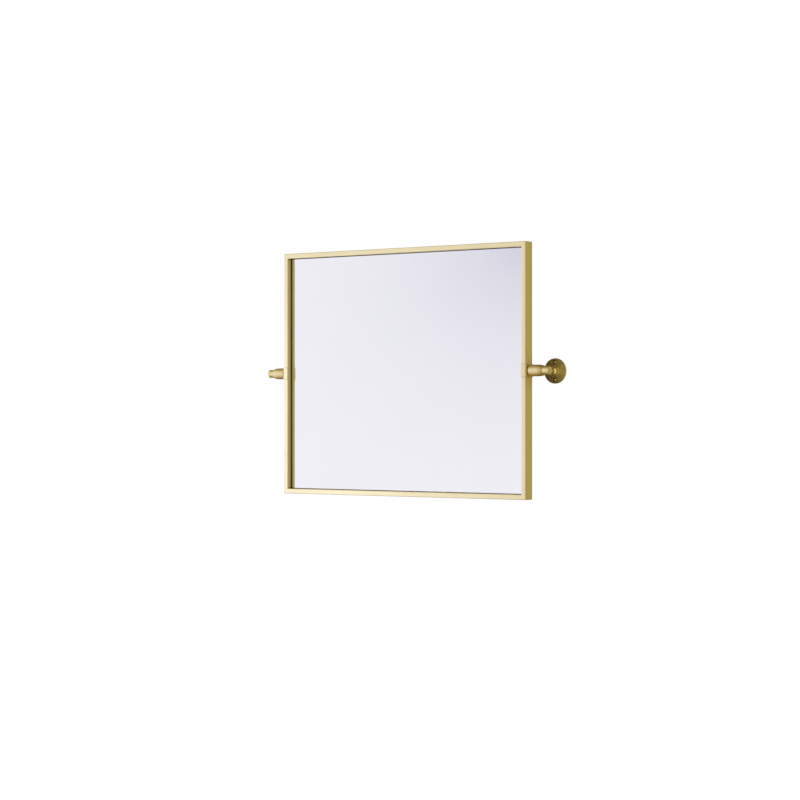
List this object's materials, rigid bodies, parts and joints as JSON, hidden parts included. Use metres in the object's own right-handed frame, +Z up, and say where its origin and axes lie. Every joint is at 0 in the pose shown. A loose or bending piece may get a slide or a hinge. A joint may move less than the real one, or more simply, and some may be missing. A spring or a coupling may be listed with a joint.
{
  "type": "pivot wall mirror",
  "caption": "Rectangular wall mirror in a deep, thin brushed metal frame that tilts between two turned wall brackets with round flanges.",
  "frame": {"origin": "on the wall plane, midway between the two flanges and at the height of the pivot axis", "axes": "+X to the right seen from the front, +Y into the wall, +Z up; the pivot axis is parallel to X at Y = -0.0682"},
  "size_m": [0.7072, 0.0824, 0.508],
  "materials": {
    "frame_brass": "satin champagne gold, brushed along each length, thin clear coat",
    "bracket_brass": "satin champagne gold, turned and brushed, thin clear coat",
    "silvered_glass": "clear float glass silvered on the back, ground edge",
    "foam_tape": "closed-cell foam tape",
    "fibreboard": "dense fibreboard, plain",
    "hardware_steel": "bright zinc plate",
    "pad_rubber": "matte",
    "washer_bronze": "turned bronze, dull",
    "bush_nylon": "natural nylon"
  },
  "bodies": {
    "wall_brackets": {"left_flange": "bracket_brass", "left_flange_screw": "hardware_steel", "left_post": "bracket_brass", "left_barrel": "bracket_brass", "left_pivot_bush": "bush_nylon", "left_thrust_washer": "hardware_steel", "left_disc_spring": "hardware_steel", "right_flange": "bracket_brass", "right_flange_screw": "hardware_steel", "right_post": "bracket_brass", "right_barrel": "bracket_brass", "right_pivot_bush": "bush_nylon", "right_thrust_washer": "hardware_steel", "right_disc_spring": "hardware_steel"},
    "mirror": {"frame_top_rail": "frame_brass", "frame_bottom_rail": "frame_brass", "frame_left_stile": "frame_brass", "frame_right_stile": "frame_brass", "mirror_glass": "silvered_glass", "glass_tape": "foam_tape", "backing_board": "fibreboard", "board_tabs": "hardware_steel", "board_screws": "hardware_steel", "bumper_pads": "pad_rubber", "left_clip": "bracket_brass", "left_weld_nut": "hardware_steel", "left_pivot_stud": "hardware_steel", "left_friction_washer": "washer_bronze", "right_clip": "bracket_brass", "right_weld_nut": "hardware_steel", "right_pivot_stud": "hardware_steel", "right_friction_washer": "washer_bronze"},
    "left_knob": {"left_tension_knob": "bracket_brass"},
    "right_knob": {"right_tension_knob": "bracket_brass"}
  },
  "joints": [
    {"name": "mirror_tilt", "type": "hinge", "parent": "wall_brackets", "child": "mirror", "pos_m": [0, -0.0682, 0], "axis": [1, 0, 0], "range_deg": [-12.5, 12.5]},
    {"name": "left_knob_turn", "type": "hinge", "parent": "mirror", "child": "left_knob", "pos_m": [-0.3475, -0.0682, 0], "axis": [-1, 0, 0], "range_deg": [0, 180]},
    {"name": "right_knob_turn", "type": "hinge", "parent": "mirror", "child": "right_knob", "pos_m": [0.3475, -0.0682, 0], "axis": [1, 0, 0], "range_deg": [0, 180]}
  ]
}
